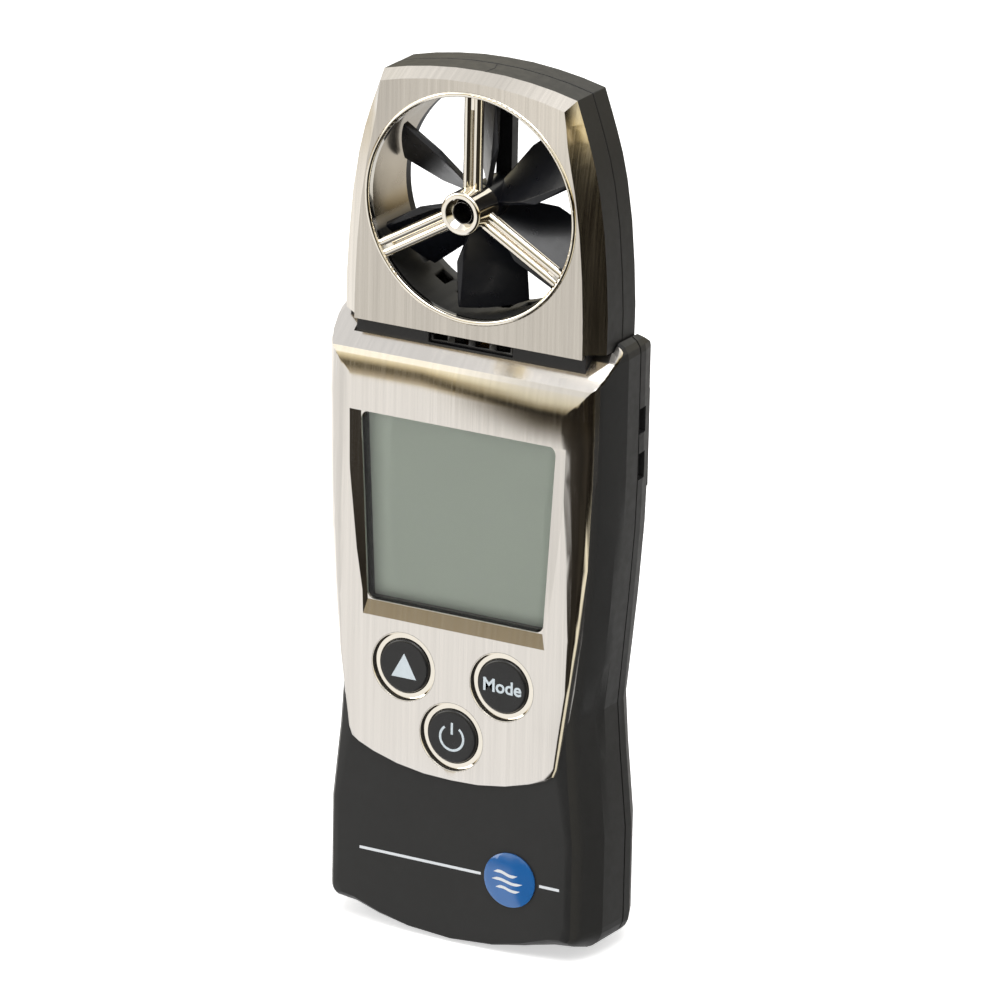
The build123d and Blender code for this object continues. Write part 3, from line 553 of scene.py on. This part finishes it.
def joint_step():
    """The step in the head's joint line, on the middle of its top."""
    path = [(0.2, 9.5), (0.95, 7.5), (0.7, 5.2)]    # x, depth
    half = 0.09
    bottom, top = 130.03, 130.10
    verts, faces = [], []
    for (x0, depth0), (x1, depth1) in zip(path, path[1:]):
        base = len(verts)
        outline = [(x0 - half, depth0), (x0 + half, depth0),
                   (x1 + half, depth1), (x1 - half, depth1)]
        verts += [point(x, depth, z) for z in (bottom, top) for x, depth in outline]
        faces.append((base + 3, base + 2, base + 1, base))
        faces.append((base + 4, base + 5, base + 6, base + 7))
        for i in range(4):
            j = (i + 1) % 4
            faces.append((base + i, base + j, base + 4 + j, base + 4 + i))
    mount(new_mesh_object("head_joint_step", verts, faces, SEAL), "handset")


up_icon()
power_icon()
mode_label()
shell_line()
badge_strokes()
joint_step()


# ------------------------------------------------------------------ stage
def build_floor():
    half = 3.0
    corners = [(-half, -half, 0), (half, -half, 0), (half, half, 0), (-half, half, 0)]
    floor = new_mesh_object("floor", corners, [(0, 1, 2, 3)], floor_white())
    floor.location = (0, 0, -0.0002)
    floor.visible_glossy = False


# Reflected surround by azimuth: degrees from straight ahead of the face, + to its +X side;
# grey level or colour
AROUND = [
    (-180, 0.6), (-146, 0.6), (-130, 1.25), (-104, 1.3), (-90, 0.95), (-66, 0.9),
    (-54, 0.82), (-46, 0.9), (-40, 1.0), (-25, 1.0), (-21, 0.50), (-16, (0.045, 0.039, 0.031)),
    (10, (0.02, 0.017, 0.013)), (34, (0.040, 0.034, 0.025)), (48, (0.014, 0.011, 0.008)),
    (62, (0.010, 0.008, 0.005)), (72, (1.0, 0.93, 0.72)), (86, (1.0, 0.93, 0.72)),
    (96, 0.05), (134, 0.04), (146, 0.6), (154, 0.75), (180, 0.6)]

# Reflected surround by elevation: degrees above the horizon; grey level or colour
UPWARD = [
    (-90, 0.9), (-30, 1.0), (-13, (0.97, 0.95, 0.91)), (-8, (0.74, 0.66, 0.50)),
    (-4, (0.40, 0.32, 0.19)), (-1.5, (0.06, 0.046, 0.024)), (2, (0.08, 0.062, 0.032)),
    (7, (0.75, 0.62, 0.36)), (12, (1.2, 1.1, 0.80)), (24, (1.3, 1.25, 1.1)), (44, 1.15),
    (52, 0.95), (62, 0.78), (80, 1.1)]


def build_world():
    """White to the camera, soft light on matt surfaces, a banded surround in reflections."""
    world = bpy.data.worlds.new("studio")
    scene.world = world
    world.use_nodes = True
    world.node_tree.nodes.clear()
    sky = Nodes(world.node_tree)

    def ramp(factor, stops, span):
        """Colours by angle, for a factor that covers span degrees about 0.5."""
        node = sky.add("ShaderNodeValToRGB", {"Fac": factor})
        node.color_ramp.interpolation = "LINEAR"
        elements = node.color_ramp.elements
        while len(elements) < len(stops):
            elements.new(0.5)
        for i, (degrees, color) in enumerate(stops):
            elements[i].position = degrees / span + 0.5
            elements[i].color = (*color, 1) if isinstance(color, tuple) else (*[color] * 3, 1)
        return node.outputs["Color"]

    def background(color, strength):
        return sky.add("ShaderNodeBackground", {
            "Color": color, "Strength": strength}).outputs[0]

    x, y, z = sky.separate(sky.add("ShaderNodeTexCoord").outputs["Generated"])
    angle = sky.calc("ARCTAN2", x, sky.calc("MULTIPLY", y, -1.0))
    azimuth = sky.calc("ADD", sky.calc("DIVIDE", angle, math.radians(360.0)), 0.5)
    elevation = sky.calc("ADD", sky.calc("DIVIDE", sky.calc("ARCSINE", z), math.pi), 0.5)
    around = ramp(azimuth, AROUND, span=360.0)
    upward = ramp(elevation, UPWARD, span=180.0)

    # above the horizon the dark parts of the surround are lit from overhead
    lift = sky.remap(elevation, 0.0, 0.62, start=0.5, end=14 / 180.0 + 0.5)
    lifted = sky.mix(lift, around, (1.0, 1.0, 1.0))
    reflected = background(sky.mix(1.0, lifted, upward, blend_type="MULTIPLY"), strength=1.05)

    # the soft light is weaker from the right
    from_right = sky.remap(x, 1.0, 0.35, start=0.15, end=0.85)
    soft = background(sky.mix(from_right, (0.0, 0.0, 0.0), (1.0, 0.985, 0.96)), strength=0.72)

    seen = background((1, 1, 1), strength=1.0)
    rays = sky.add("ShaderNodeLightPath").outputs
    lighting = sky.mix_shader(rays["Is Glossy Ray"], soft, reflected)
    surface = sky.mix_shader(rays["Is Camera Ray"], lighting, seen)
    sky.add("ShaderNodeOutputWorld", {"Surface": surface})


def area_light(name, place, target, size, power, glossy=True):
    light = bpy.data.lights.new(name, "AREA")
    light.shape = "RECTANGLE"
    light.size, light.size_y = size
    light.energy = power
    lamp = new_object(name, light)
    lamp.location = place
    aim = Vector(target) - Vector(place)
    lamp.rotation_euler = aim.to_track_quat("-Z", "Y").to_euler()
    lamp.visible_glossy = glossy


def build_camera():
    lens = bpy.data.cameras.new("camera")
    lens.sensor_width = 36.0
    lens.lens = 297.54
    lens.clip_start = 0.05
    lens.clip_end = 20.0
    camera = new_object("camera", lens)
    place = Vector((0.53631, -0.98322, 0.4528))
    forward = Vector((-0.45134, 0.83018, -0.32725)).normalized()
    rough_up = Vector((-0.17409, 0.27777, 0.94474))
    right = forward.cross(rough_up).normalized()
    up = right.cross(forward).normalized()
    turn = Matrix((right, up, -forward)).transposed()
    camera.matrix_world = Matrix.Translation(place) @ turn.to_4x4()
    scene.camera = camera


build_floor()
build_world()
area_light("key_top", place=(0.25, -0.5, 1.1), target=(0, 0, 0.06), size=(0.9, 0.7), power=9.0)
area_light("fill_left", place=(-0.9, -0.6, 0.45), target=(0, 0, 0.06), size=(0.6, 0.8),
           power=4.0)
area_light("rim_right", place=(0.9, 0.3, 0.5), target=(0, 0, 0.07), size=(0.4, 0.8),
           power=1.2, glossy=False)
build_camera()
scene.view_settings.view_transform = "Standard"
scene.view_settings.look = "None"
